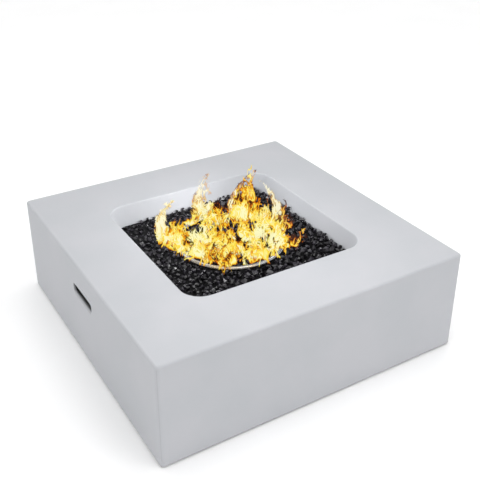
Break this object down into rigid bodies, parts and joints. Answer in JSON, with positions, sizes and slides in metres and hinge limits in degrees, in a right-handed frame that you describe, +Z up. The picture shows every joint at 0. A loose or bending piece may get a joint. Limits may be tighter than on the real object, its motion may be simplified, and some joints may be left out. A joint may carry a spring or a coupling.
{
  "type": "gas fire pit table",
  "caption": "Low square gas fire pit table: a hollow cast body with a sunken fire bowl, a ring burner in black fire glass, hand slots and a recessed control box with knob and igniter.",
  "frame": {"origin": "on the floor, under the middle of the square table", "axes": "+Z up; +Y out of the back wall that holds the control box; the hand slots are in the -X and +X walls"},
  "size_m": [0.89, 0.89, 0.29],
  "materials": {
    "cast_body": "matte",
    "rubber": "matte",
    "black_steel": "satin",
    "zinc_steel": "satin",
    "stainless": "satin",
    "spring_steel": "satin",
    "brass": "satin",
    "aluminium_tube": "satin",
    "black_plastic": "satin",
    "red_plastic": "gloss",
    "battery_case": "gloss",
    "white_ceramic": "gloss",
    "red_silicone": "satin",
    "copper_lead": "satin",
    "fire_glass": "polished"
  },
  "bodies": {
    "table": {"table_shell": "cast_body", "rubber_feet": "rubber", "burner_tray": "black_steel", "tray_screws": "zinc_steel", "burner_ring": "stainless", "burner_pipe": "zinc_steel", "pipe_locknuts": "zinc_steel", "air_mixer": "brass", "gas_orifice": "brass", "gas_line": "aluminium_tube", "flare_nuts": "brass", "line_clip": "black_plastic", "control_box": "black_steel", "box_screws": "zinc_steel", "valve_body": "brass", "valve_cap": "zinc_steel", "valve_screws": "zinc_steel", "stem_spring": "spring_steel", "gas_inlet": "brass", "igniter_housing": "black_plastic", "igniter_nut": "black_plastic", "igniter_battery": "battery_case", "igniter_spring": "spring_steel", "igniter_terminal": "brass", "sensor_bracket": "stainless", "bracket_rivets": "zinc_steel", "spark_sleeve": "white_ceramic", "spark_rod": "stainless", "spark_lead": "red_silicone", "thermocouple": "stainless", "thermocouple_nut": "brass", "thermocouple_lead": "copper_lead", "glass_bed": "fire_glass", "fire_glass": "fire_glass"},
    "thrust_washer": {"stem_washer": "zinc_steel"},
    "knob": {"control_knob": "black_plastic", "valve_stem": "stainless"},
    "button": {"igniter_button": "red_plastic"}
  },
  "joints": [
    {"name": "knob_push", "type": "slide", "parent": "table", "child": "thrust_washer", "axis": [0, -1, 0], "range_m": [0, 0.003], "stiffness_N_per_m": 900, "deforming": ["stem_spring"]},
    {"name": "knob_turn", "type": "hinge", "parent": "thrust_washer", "child": "knob", "pos_m": [0.045, 0.4, 0.16], "axis": [0, 1, 0], "range_deg": [-90, 90]},
    {"name": "igniter_press", "type": "slide", "parent": "table", "child": "button", "axis": [0, -1, 0], "range_m": [0, 0.004], "stiffness_N_per_m": 700, "deforming": ["igniter_spring"]}
  ]
}
